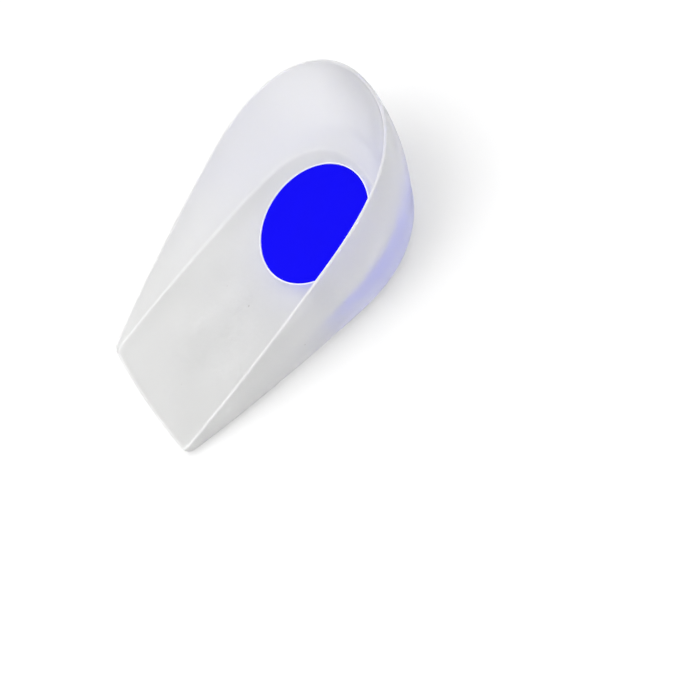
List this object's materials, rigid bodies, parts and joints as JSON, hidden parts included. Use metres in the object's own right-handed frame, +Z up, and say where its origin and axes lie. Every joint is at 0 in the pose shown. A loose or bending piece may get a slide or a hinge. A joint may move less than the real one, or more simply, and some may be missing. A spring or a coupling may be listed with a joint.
{
  "type": "heel cup",
  "caption": "Frosted gel heel cup for a shoe: wedge-shaped floor, flared wall rising round the back of the heel, and a soft blue pad let in under the heel bone.",
  "frame": {"origin": "middle of the overall box in plan, on the plane of the underside", "axes": "+Y from the thin toe edge towards the back of the heel, +Z up out of the cup, +X to the wearer's right"},
  "size_m": [0.0648, 0.103, 0.0308],
  "materials": {
    "clear_gel": "frosted translucent silicone gel, whitish",
    "blue_gel": "matte saturated blue gel"
  },
  "bodies": {
    "root": {"gel_cup": "clear_gel", "heel_pad": "blue_gel"}
  },
  "joints": []
}
